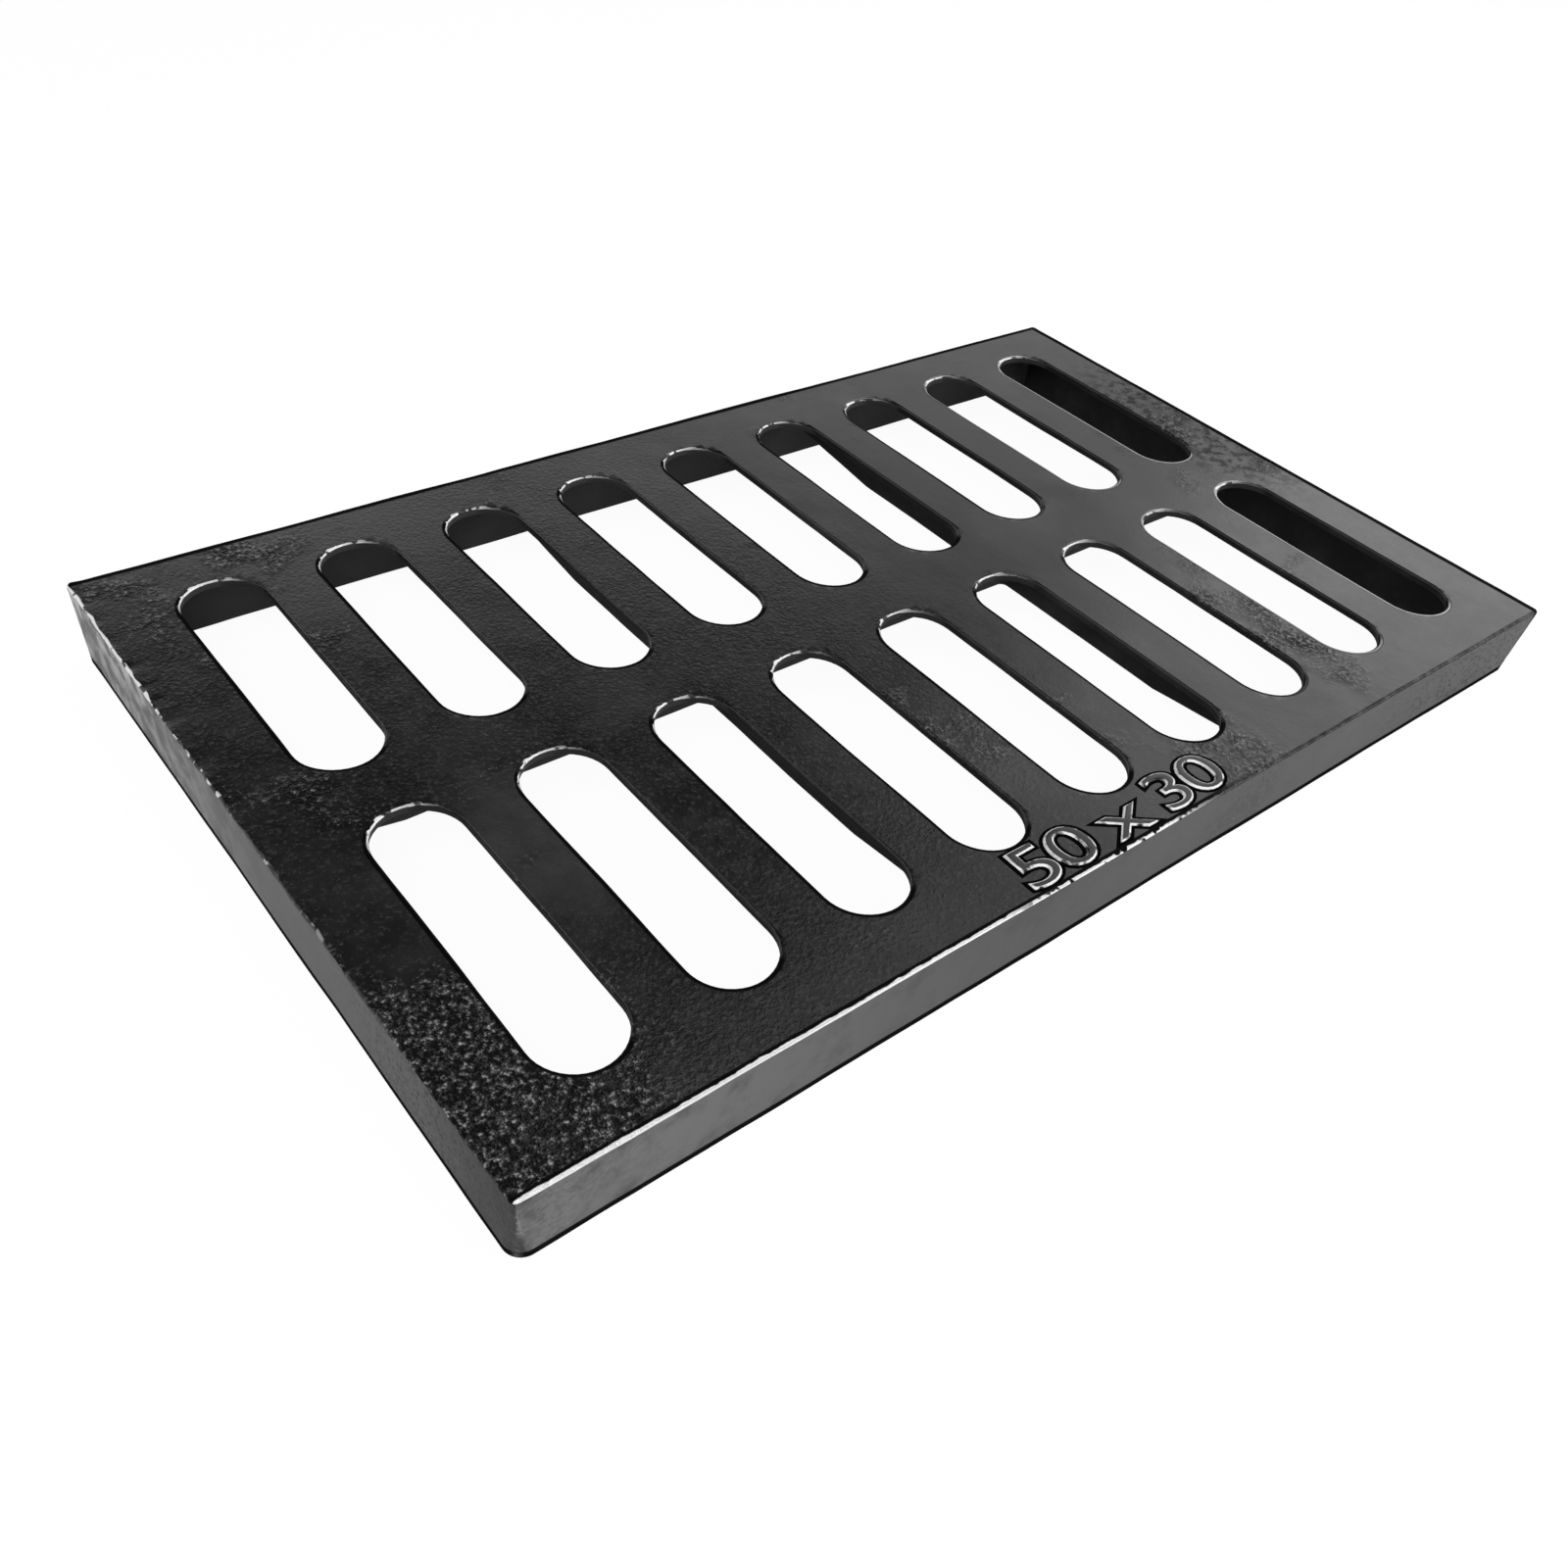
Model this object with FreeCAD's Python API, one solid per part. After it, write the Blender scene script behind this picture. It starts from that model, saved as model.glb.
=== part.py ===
"""Slotted drain grate, 300 by 500 mm, cast in one piece.

A thin slotted plate stands on a leaning rim. Under the plate a long rib and two
cross ribs part the hollow into six pockets. The ribs' lower edges rise where
they near the rim. The origin is the centre of the underside, +X runs along the
long side and +Z is up. All lengths are millimetres.
"""

import FreeCAD
import Part

import os

# Outer form
LENGTH = 500.0
WIDTH = 300.0
HEIGHT = 31.0
SIDE_DRAFT = 1.25
CORNER_RADIUS_AT_SEAT = 6.0
CORNER_RADIUS_AT_TOP = 2.0
TOP_EDGE_RADIUS = 1.2

# Plate and rim
PLATE_THICKNESS = 3.2
RIM_AT_SEAT = 5.0
RIM_AT_PLATE = 6.5
SEAT_OUTER_RADIUS = 0.8
SEAT_INNER_RADIUS = 1.5
POCKET_RADIUS = 2.5

# Ribs, with their depths taken from the top face down
RIB_AT_EDGE = 5.0
RIB_AT_PLATE = 6.5
RIB_DEPTH = 17.0
RIB_END_DEPTH = 10.0
LONG_RIB_RISE = 43.0
CROSS_RIB_RISE = 58.0
RIB_EDGE_RADIUS = 1.5
SLOTS_PER_BAY = 3

# Slots, in rows along X
ROWS = 2
SLOTS_PER_ROW = 9
SLOT_WIDTH = 30.0
END_MARGIN = 27.0
SIDE_MARGIN = 22.5
ROW_BAND = 25.0
SLOT_DRAFT = 0.4
SLOT_EDGE_CHAMFER = 0.8

# Length by which a cutter runs past the face that it breaks through
OVERRUN = 2.0

# Largest share of a wall that the rounding of one of its edges may take
EDGE_SHARE = 0.45

# Two places closer than this are the same place
SAME_PLACE = 1e-4

# Sizes and places that follow from those above
PLATE_UNDERSIDE = HEIGHT - PLATE_THICKNESS
RIB_EDGE_Z = HEIGHT - RIB_DEPTH
RIB_END_Z = HEIGHT - RIB_END_DEPTH
SLOT_PITCH = (LENGTH - 2 * END_MARGIN - SLOT_WIDTH) / (SLOTS_PER_ROW - 1)
SLOT_LENGTH = (WIDTH - 2 * SIDE_MARGIN - (ROWS - 1) * ROW_BAND) / ROWS
ROW_PITCH = SLOT_LENGTH + ROW_BAND

ORIGIN = FreeCAD.Vector(0, 0, 0)
X_AXIS = FreeCAD.Vector(1, 0, 0)
Y_AXIS = FreeCAD.Vector(0, 1, 0)
Z_AXIS = FreeCAD.Vector(0, 0, 1)


def between(z, low, low_value, high, high_value):
    """Value at one place on the straight line through two places."""
    return low_value + (high_value - low_value) * (z - low) / (high - low)


def spread(count, pitch):
    """Places of equal things in a row, centred on zero."""
    return [(i - (count - 1) / 2) * pitch for i in range(count)]


def within(wall, size):
    """Radius or chamfer of an edge, kept to what its wall can take."""
    return min(size, EDGE_SHARE * wall)


def outer_inset(z):
    """Distance from the top's outline in to the rim's outer face."""
    return between(z, 0, SIDE_DRAFT, HEIGHT, 0)


def inner_inset(z):
    """Distance from the top's outline in to the rim's inner face."""
    return outer_inset(z) + between(z, 0, RIM_AT_SEAT, PLATE_UNDERSIDE, RIM_AT_PLATE)


def slot_places():
    """X of each slot in a row."""
    return spread(SLOTS_PER_ROW, SLOT_PITCH)


def row_places():
    """Y of each row of slots."""
    return spread(ROWS, ROW_PITCH)


def long_rib_places():
    """Y of each rib that runs along X: under the band between two rows."""
    rows = row_places()
    return [(near + far) / 2 for near, far in zip(rows, rows[1:])]


def cross_rib_places():
    """X of each rib that runs along Y: under the bar between two bays of slots."""
    bays = slot_places()[SLOTS_PER_BAY::SLOTS_PER_BAY]
    return [x - SLOT_PITCH / 2 for x in bays]


def is_upright(edge):
    """Whether an edge climbs rather than runs level."""
    return edge.BoundBox.ZLength > edge.Length / 2


def lies_at(shape, z):
    """Whether all of an edge or face is at one height."""
    box = shape.BoundBox
    return abs(box.ZMin - z) < SAME_PLACE and abs(box.ZMax - z) < SAME_PLACE


def looks_down(face):
    """Whether the middle of a face looks more down than sideways."""
    u_low, u_high, v_low, v_high = face.ParameterRange
    normal = face.normalAt((u_low + u_high) / 2, (v_low + v_high) / 2)
    return -normal.z > max(abs(normal.x), abs(normal.y))


def inner_outlines(face):
    """Edges of the holes in a face."""
    holes = [wire for wire in face.Wires if not wire.isSame(face.OuterWire)]
    return [edge for hole in holes for edge in hole.Edges]


def outline_of(faces):
    """Edges that bound only one of the faces."""
    edges = [edge for face in faces for edge in face.Edges]
    return [edge for edge in edges if sum(edge.isSame(other) for other in edges) == 1]


def leaning_block(inset, low, high):
    """Block whose outline at each height is the top's, drawn in by inset(z)."""
    low_x = LENGTH / 2 - inset(low)
    low_y = WIDTH / 2 - inset(low)
    high_x = LENGTH / 2 - inset(high)
    high_y = WIDTH / 2 - inset(high)
    block = Part.makeWedge(-low_x, low, -low_y, -high_y, -high_x,
                           low_x, high, low_y, high_y, high_x)
    block.rotate(ORIGIN, X_AXIS, 90)
    return block


def prism(points, sweep):
    """Solid that a flat outline leaves when it is swept evenly to both sides."""
    face = Part.Face(Part.makePolygon(points + points[:1]))
    face.translate(sweep * -0.5)
    return face.extrude(sweep)


def rim_hollow():
    """Space inside the rim from below the seat to the plate, with sharp corners."""
    return leaning_block(inner_inset, -OVERRUN, PLATE_UNDERSIDE)


def rib_bar(across, run, place):
    """Bar with a rib's section, from below the seat to above the plate."""
    def half(z):
        return between(z, RIB_EDGE_Z, RIB_AT_EDGE, PLATE_UNDERSIDE, RIB_AT_PLATE) / 2

    low = -OVERRUN
    section = [across * -half(low) + Z_AXIS * low, across * half(low) + Z_AXIS * low,
               across * half(HEIGHT) + Z_AXIS * HEIGHT, across * -half(HEIGHT) + Z_AXIS * HEIGHT]
    bar = prism(section, run)
    bar.translate(across * place)
    return bar


def pockets():
    """Rounded spaces that the ribs leave in the rim's hollow."""
    ribs = [rib_bar(Y_AXIS, X_AXIS * LENGTH, y) for y in long_rib_places()]
    ribs += [rib_bar(X_AXIS, Y_AXIS * WIDTH, x) for x in cross_rib_places()]
    spaces = rim_hollow().cut(ribs).Solids
    return [space.makeFillet(POCKET_RADIUS, [e for e in space.Edges if not lies_at(e, -OVERRUN)])
            for space in spaces]


def below_rib_edges(along, half_run, rise, sweep):
    """Space under ribs that run along one axis, up to their lower edges."""
    level = half_run - rise
    reach = half_run + OVERRUN
    reach_z = between(reach, level, RIB_EDGE_Z, half_run, RIB_END_Z)
    low = -OVERRUN
    outline = [(-reach, low), (reach, low), (reach, reach_z),
               (level, RIB_EDGE_Z), (-level, RIB_EDGE_Z), (-reach, reach_z)]
    return prism([along * place + Z_AXIS * z for place, z in outline], sweep)


def under_ribs():
    """Open space inside the rim, below every rib."""
    inside = rim_hollow()
    inside = inside.makeFillet(POCKET_RADIUS, [e for e in inside.Edges if is_upright(e)])
    half_x = LENGTH / 2 - inner_inset(RIB_END_Z)
    half_y = WIDTH / 2 - inner_inset(RIB_END_Z)
    below_long = below_rib_edges(X_AXIS, half_x, LONG_RIB_RISE, Y_AXIS * WIDTH)
    below_cross = below_rib_edges(Y_AXIS, half_y, CROSS_RIB_RISE, X_AXIS * LENGTH)
    return inside.common(below_long.fuse(below_cross))


def slot_outline(x, y, z, grow):
    """Round-ended outline of a slot at a height, wider all round by grow."""
    radius = SLOT_WIDTH / 2 + grow
    straight = SLOT_LENGTH - SLOT_WIDTH
    near = FreeCAD.Vector(x, y - straight / 2, z)
    far = FreeCAD.Vector(x, y + straight / 2, z)
    side = X_AXIS * radius
    tip = Y_AXIS * radius
    return Part.Wire([
        Part.makeLine(near + side, far + side),
        Part.Arc(far + side, far + tip, far - side).toShape(),
        Part.makeLine(far - side, near - side),
        Part.Arc(near - side, near - tip, near + side).toShape()])


def slot(x, y):
    """Cutter of one slot, which widens a little towards the underside."""
    def outline(z):
        grow = between(z, PLATE_UNDERSIDE, SLOT_DRAFT, HEIGHT, 0)
        return slot_outline(x, y, z, grow)

    ends = [outline(PLATE_UNDERSIDE - OVERRUN), outline(HEIGHT + OVERRUN)]
    return Part.makeLoft(ends, True, True)


def solid_block():
    """Block with the casting's outer faces and nothing cut from it."""
    body = leaning_block(outer_inset, 0, HEIGHT)
    corners = [e for e in body.Edges if is_upright(e)]
    body = body.makeFillet(CORNER_RADIUS_AT_SEAT, CORNER_RADIUS_AT_TOP, corners)
    body = body.makeFillet(TOP_EDGE_RADIUS, [e for e in body.Edges if lies_at(e, HEIGHT)])
    return body.makeFillet(SEAT_OUTER_RADIUS, [e for e in body.Edges if lies_at(e, 0)])


def rib_edges(body):
    """Lower edges along both sides of every rib, without their ends at the rim."""
    faces = [f for f in body.Faces if looks_down(f)
             and f.BoundBox.ZMin > RIB_EDGE_Z - SAME_PLACE
             and f.BoundBox.ZMax < PLATE_UNDERSIDE - SAME_PLACE]
    half_x = LENGTH / 2 - inner_inset(RIB_END_Z) - POCKET_RADIUS / 2
    half_y = WIDTH / 2 - inner_inset(RIB_END_Z) - POCKET_RADIUS / 2
    return [e for e in outline_of(faces)
            if abs(e.CenterOfMass.x) < half_x and abs(e.CenterOfMass.y) < half_y]


def round_off(body):
    """Body with its rib and seat edges rounded and its slots' top edges eased."""
    body = body.makeFillet(within(RIB_AT_EDGE, RIB_EDGE_RADIUS), rib_edges(body))
    seat = [f for f in body.Faces if lies_at(f, 0)][0]
    body = body.makeFillet(within(RIM_AT_SEAT, SEAT_INNER_RADIUS), inner_outlines(seat))
    top = [f for f in body.Faces if lies_at(f, HEIGHT)][0]
    return body.makeChamfer(within(PLATE_THICKNESS, SLOT_EDGE_CHAMFER), inner_outlines(top))


def grate():
    """The whole casting."""
    body = solid_block().cut(under_ribs())
    for pocket in pockets():
        body = body.cut(pocket)
    slots = [slot(x, y) for x in slot_places() for y in row_places()]
    return round_off(body.removeSplitter().cut(slots))


os.makedirs("parts", exist_ok=True)
casting = grate()
casting.exportStep(os.path.join("parts", "grate.step"))
print("grate: valid", casting.isValid(), "solids", len(casting.Solids),
      "faces", len(casting.Faces), "cm3", round(casting.Volume / 1000, 1))
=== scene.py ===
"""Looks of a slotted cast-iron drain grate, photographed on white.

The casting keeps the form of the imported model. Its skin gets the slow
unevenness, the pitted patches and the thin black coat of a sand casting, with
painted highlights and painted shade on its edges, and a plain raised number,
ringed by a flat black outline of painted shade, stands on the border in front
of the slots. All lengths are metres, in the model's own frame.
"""

import logging
import math
from dataclasses import dataclass, replace
from enum import Enum
from functools import reduce
from typing import Union

import bmesh
import bpy
from mathutils import Matrix, Vector, noise


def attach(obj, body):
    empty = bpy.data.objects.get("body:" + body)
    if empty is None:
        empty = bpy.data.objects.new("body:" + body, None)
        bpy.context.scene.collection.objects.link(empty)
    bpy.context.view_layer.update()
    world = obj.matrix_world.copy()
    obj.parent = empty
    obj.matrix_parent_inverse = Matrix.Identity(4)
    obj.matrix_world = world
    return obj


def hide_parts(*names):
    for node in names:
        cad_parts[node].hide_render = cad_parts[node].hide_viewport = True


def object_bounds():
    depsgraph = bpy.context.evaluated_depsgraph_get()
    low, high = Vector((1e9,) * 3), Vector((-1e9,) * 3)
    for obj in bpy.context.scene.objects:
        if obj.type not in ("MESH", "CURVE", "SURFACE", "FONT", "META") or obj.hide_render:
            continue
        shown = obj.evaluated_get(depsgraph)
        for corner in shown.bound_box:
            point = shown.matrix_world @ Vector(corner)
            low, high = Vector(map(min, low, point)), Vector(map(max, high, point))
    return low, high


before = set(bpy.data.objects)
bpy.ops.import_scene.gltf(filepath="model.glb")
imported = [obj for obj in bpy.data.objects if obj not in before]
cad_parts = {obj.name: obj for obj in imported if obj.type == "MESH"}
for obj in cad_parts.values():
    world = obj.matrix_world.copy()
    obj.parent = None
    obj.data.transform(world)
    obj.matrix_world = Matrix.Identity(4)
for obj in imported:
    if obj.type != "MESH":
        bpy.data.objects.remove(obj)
CAD_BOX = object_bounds()

MM = 0.001
BODY = "root"
NOISE_SEED = 7
NOISE_MEAN = 0.5
SMOOTH_ANGLE = math.radians(50)

# Where a smooth step is 0 and where it is 1, in either order
Span = tuple[float, float]

Input = Union["Signal", bpy.types.NodeSocket, float, int, tuple, Vector]


class Signal:
    """One output of a node, with the arithmetic that the finishes use."""

    def __init__(self, shader: "Shader", socket: bpy.types.NodeSocket | None) -> None:
        """Wraps a socket.

        Args:
            shader: The shader that the socket belongs to.
            socket: The output to wrap, or none for a node without one.
        """
        self.shader = shader
        self.socket = socket

    def _maths(self, operation: str, first: Input, second: Input) -> "Signal":
        """Adds a Math node.

        Args:
            operation: The Math node's operation.
            first: Its first value.
            second: Its second value.

        Returns:
            The node's result.
        """
        return self.shader.node("ShaderNodeMath", {"operation": operation}, {0: first, 1: second})

    def __add__(self, other: Input) -> "Signal":
        """Sum of two values."""
        return self._maths("ADD", self, other)

    __radd__ = __add__

    def __sub__(self, other: Input) -> "Signal":
        """Difference of two values."""
        return self._maths("SUBTRACT", self, other)

    def __rsub__(self, other: Input) -> "Signal":
        """Difference of a plain number and this value."""
        return self._maths("SUBTRACT", other, self)

    def __mul__(self, other: Input) -> "Signal":
        """Product of two values."""
        return self._maths("MULTIPLY", self, other)

    __rmul__ = __mul__

    def __pow__(self, other: Input) -> "Signal":
        """The value raised to a power."""
        return self._maths("POWER", self, other)

    def __abs__(self) -> "Signal":
        """The value without its sign."""
        return self._maths("ABSOLUTE", self, 0.0)

    def larger(self, other: Input) -> "Signal":
        """The larger of two values."""
        return self._maths("MAXIMUM", self, other)

    def smaller(self, other: Input) -> "Signal":
        """The smaller of two values."""
        return self._maths("MINIMUM", self, other)

    def rounded(self) -> "Signal":
        """The nearest whole number."""
        return self._maths("ROUND", self, 0.0)

    def side(self) -> "Signal":
        """Minus one, zero or one, by the value's sign."""
        return self._maths("SIGN", self, 0.0)

    def step(self, span: Span) -> "Signal":
        """Smooth step from 0 to 1.

        Args:
            span: Where the value starts the step, and where it ends it.

        Returns:
            The step.
        """
        return self.shader.node(
            "ShaderNodeMapRange", {"interpolation_type": "SMOOTHSTEP"},
            {"Value": self, "From Min": span[0], "From Max": span[1]})


def largest(*signals: Signal) -> Signal:
    """The largest of several values."""
    return reduce(Signal.larger, signals)


class Shader:
    """The node tree of one material or world."""

    # Numbers of the colour sockets of a Mix node, because its kinds share their names
    MIX_SHARE = 0
    MIX_FIRST = 6
    MIX_SECOND = 7
    MIX_RESULT = 2

    def __init__(self, tree: bpy.types.NodeTree) -> None:
        """Empties the tree.

        Args:
            tree: The node tree to build in.
        """
        self.tree = tree
        self.tree.nodes.clear()

    def node(self, kind: str, settings: dict | None = None, values: dict | None = None,
             output: str | int = 0) -> Signal:
        """Adds a node.

        Args:
            kind: The node's type.
            settings: Its own settings, which are made first.
            values: What its sockets hold or are linked to, by name or number.
            output: The output that is wanted.

        Returns:
            That output.
        """
        made = self.tree.nodes.new(kind)
        for name, setting in (settings or {}).items():
            setattr(made, name, setting)
        for name, value in (values or {}).items():
            socket = made.inputs[name]
            if isinstance(value, Signal):
                self.tree.links.new(value.socket, socket)
            else:
                socket.default_value = value
        return Signal(self, made.outputs[output] if len(made.outputs) else None)

    def parts(self, vector: Input) -> tuple[Signal, Signal, Signal]:
        """Takes a vector apart.

        Args:
            vector: The vector.

        Returns:
            Its x, y and z.
        """
        split = self.node("ShaderNodeSeparateXYZ", values={"Vector": vector})
        outputs = split.socket.node.outputs
        return Signal(self, outputs[0]), Signal(self, outputs[1]), Signal(self, outputs[2])

    def noise(self, place: Signal, size: float, detail: float = 2.0, rough: float = 0.5) -> Signal:
        """Soft random field.

        Args:
            place: Where it is read.
            size: How large its blotches are.
            detail: How many finer layers it has.
            rough: How strong those layers are.

        Returns:
            A value of about 0.2 to 0.8, with a mean of 0.5.
        """
        return self.node("ShaderNodeTexNoise", {"noise_dimensions": "3D"},
                         {"Vector": place, "Scale": 1 / size, "Detail": detail, "Roughness": rough})

    def mix(self, share: Input, first: Input, second: Input) -> Signal:
        """Mixes two colours.

        Args:
            share: The second one's share, from 0 to 1.
            first: The first colour.
            second: The second colour.

        Returns:
            The colour between them.
        """
        return self.node("ShaderNodeMix", {"data_type": "RGBA"},
                         {self.MIX_SHARE: share, self.MIX_FIRST: first, self.MIX_SECOND: second},
                         output=self.MIX_RESULT)


def grey(level: float) -> tuple[float, float, float, float]:
    """A neutral colour with its alpha."""
    return level, level, level, 1.0


@dataclass(frozen=True)
class SlotPattern:
    """Where the slots are, for marks that follow their edges."""

    pitch: float = 52 * MM
    last: int = 4
    row: float = 70 * MM
    straight: float = 42.5 * MM
    radius: float = 15 * MM

    def around(self, x: Signal, y: Signal) -> tuple[Signal, Signal, Signal]:
        """Places a point by the nearest slot.

        Args:
            x: How far right the point is.
            y: How far back the point is.

        Returns:
            Its distance outside that slot's edge, and how far it is right of the slot's
            middle line and beyond the nearer end of that line.
        """
        number = (x * (1 / self.pitch)).rounded().larger(-self.last).smaller(self.last)
        across = x - number * self.pitch
        offset = y - y.side() * self.row
        beyond = (abs(offset) - self.straight).larger(0.0) * offset.side()
        return (across * across + beyond * beyond) ** 0.5 - self.radius, across, beyond


class Skinpoint:
    """What a finish can read about the point that it colours.

    Its spans say how a face has to point to count as level, steep or forwards, and how
    near the outline a point has to be to count as the rim's outside.
    """

    LEVEL: Span = (0.80, 0.95)
    NOT_STEEP: Span = (0.15, 0.35)
    NOT_LEVEL: Span = (0.995, 0.96)
    STEEP: Span = (0.5, 0.2)
    FORWARDS: Span = (-0.05, -0.25)
    LEFTWARDS: Span = (-0.15, -0.45)
    FLANK_INSET: Span = (3.5 * MM, 1.5 * MM)

    def __init__(self, s: Shader) -> None:
        """Reads the place and the way it faces.

        Args:
            s: The shader of the finish.
        """
        self.s = s
        self.place = s.node("ShaderNodeTexCoord", output="Object")
        self.x, self.y, self.z = s.parts(self.place)
        self.faces_x, self.faces_y, self.up = s.parts(
            s.node("ShaderNodeNewGeometry", output="Normal"))
        self.gap, self.across, self.beyond = SlotPattern().around(self.x, self.y)
        self.right_inset = CAD_BOX[1].x - self.x
        self.back_inset = CAD_BOX[1].y - self.y
        self.front_inset = self.y - CAD_BOX[0].y
        self.inset = (CAD_BOX[1].x - abs(self.x)).smaller(CAD_BOX[1].y - abs(self.y))
        self.level = self.up.step(self.LEVEL)
        self.slope = self.up.step(self.NOT_STEEP) * self.up.step(self.NOT_LEVEL)
        self.front = self.faces_y.step(self.FORWARDS)
        self.left = self.faces_x.step(self.LEFTWARDS)
        self.flank = self.inset.step(self.FLANK_INSET) * self.up.step(self.STEEP)


@dataclass(frozen=True)
class Spot:
    """Round or oval place, seen from above, where the skin differs."""

    x: float
    y: float
    reach: float
    strength: float
    core: float = 0.3
    narrow_x: float = 1.0
    narrow_y: float = 1.0

    def share(self, at: Skinpoint) -> Signal:
        """Fades the spot from its core to its reach.

        Args:
            at: The point.

        Returns:
            The spot's strength there.
        """
        away = (((at.x - self.x) * self.narrow_x) ** 2
                + ((at.y - self.y) * self.narrow_y) ** 2) ** 0.5
        return away.step((self.reach, self.core * self.reach)) * self.strength


@dataclass(frozen=True)
class SandPrint:
    """What the mould's sand has left: pitted patches, a fine grain and a haze of dust."""

    amount: float = 1.0
    blotch: float = 30 * MM
    blotch_detail: float = 3.0
    coarse: Span = (0.58, 0.92)
    spared_flank: float = 0.85
    grain_run: Span = (60 * MM, -60 * MM)
    patches: tuple[Spot, ...] = (
        Spot(-245 * MM, -122 * MM, 76 * MM, 0.42), Spot(-240 * MM, 20 * MM, 90 * MM, 0.04),
        Spot(50 * MM, -138 * MM, 38 * MM, 0.30), Spot(126 * MM, -85 * MM, 60 * MM, 0.20),
        Spot(60 * MM, 0.0, 110 * MM, -0.12), Spot(225 * MM, -110 * MM, 60 * MM, -0.30),
        Spot(-100 * MM, 0.0, 90 * MM, -0.10), Spot(-60 * MM, -138 * MM, 60 * MM, -0.12),
        Spot(238 * MM, 30 * MM, 70 * MM, 0.18), Spot(-27 * MM, -85 * MM, 44 * MM, 0.20),
        Spot(-205 * MM, 135 * MM, 80 * MM, 0.15),
    )
    hazes: tuple[Spot, ...] = (
        Spot(-180 * MM, -46 * MM, 60 * MM, 0.75, core=0.2, narrow_x=2.2),
        Spot(-172 * MM, 146 * MM, 90 * MM, 0.90, core=0.2),
        Spot(-27 * MM, -85 * MM, 44 * MM, 0.50, core=0.2, narrow_x=1.6),
    )

    def pitted(self, at: Skinpoint) -> Signal:
        """Places the coarse patches.

        Args:
            at: The point.

        Returns:
            How coarse the print is, from 0 to 1.
        """
        coarse = at.s.noise(at.place, self.blotch, self.blotch_detail)
        for patch in self.patches:
            coarse = coarse + patch.share(at)
        return coarse.step(self.coarse) * self.amount * (1.0 - at.flank * self.spared_flank)

    def grained(self, at: Skinpoint) -> Signal:
        """How far the faint grain of the left side shows, from 0 to 1."""
        return at.x.step(self.grain_run) * self.amount * (1.0 - at.flank)

    def hazed(self, at: Skinpoint) -> Signal:
        """How much dust lies on the coat, from 0 to 1."""
        return largest(*(haze.share(at) for haze in self.hazes)) * at.level * self.amount


@dataclass(frozen=True)
class Specks:
    """The finest print: black pits, which are painted shade, and pale crests between them, which
    are part bare iron and part painted glint.
    """

    size: float = 1.5 * MM
    detail: float = 2.0
    rough: float = 0.6
    pit: Span = (0.52, 0.42)
    # Black of the pits, painted shade
    pit_shade_colour: float = 0.001
    crest: Span = (0.58, 0.76)
    # Pale of the crests, part bare iron and part painted glint
    crest_wear_and_glint_colour: float = 0.300
    grain: Span = (0.50, 0.72)
    grain_colour: float = 0.026
    dull_pit: Span = (0.56, 0.44)
    dull_pit_share: float = 0.8
    flank_pit: Span = (0.48, 0.36)
    flank_pit_share: float = 0.5
    front_run: Span = (120 * MM, 200 * MM)
    left_run: Span = (-40 * MM, -110 * MM)

    def field(self, at: Skinpoint) -> Signal:
        """The random field that places the pits and crests."""
        return at.s.noise(at.place, self.size, self.detail, self.rough)

    def coloured(self, specks: Signal, pitted: Signal, grained: Signal, base: Signal) -> Signal:
        """Colours the pits with painted shade, and the crests with bare iron and painted glints.

        Args:
            specks: The specks' field.
            pitted: How coarse the sand's print is.
            grained: How far the faint grain shows.
            base: The colour under them.

        Returns:
            The colour with the specks on it.
        """
        s = base.shader
        base = s.mix(specks.step(self.grain) * grained, base, grey(self.grain_colour))
        base = s.mix(specks.step(self.pit) * pitted, base, grey(self.pit_shade_colour))
        return s.mix(specks.step(self.crest) * pitted, base, grey(self.crest_wear_and_glint_colour))

    def dull(self, at: Skinpoint, specks: Signal, pitted: Signal) -> Signal:
        """Where pits swallow the light, from 0 to 1.

        Args:
            at: The point.
            specks: The specks' field.
            pitted: How coarse the sand's print is.

        Returns:
            The share.
        """
        on_top = specks.step(self.dull_pit) * pitted * self.dull_pit_share
        rough_ends = at.front * at.x.step(self.front_run) + at.left * at.y.step(self.left_run)
        on_flank = specks.step(self.flank_pit) * at.flank * rough_ends * self.flank_pit_share
        return on_top.larger(on_flank)


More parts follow.
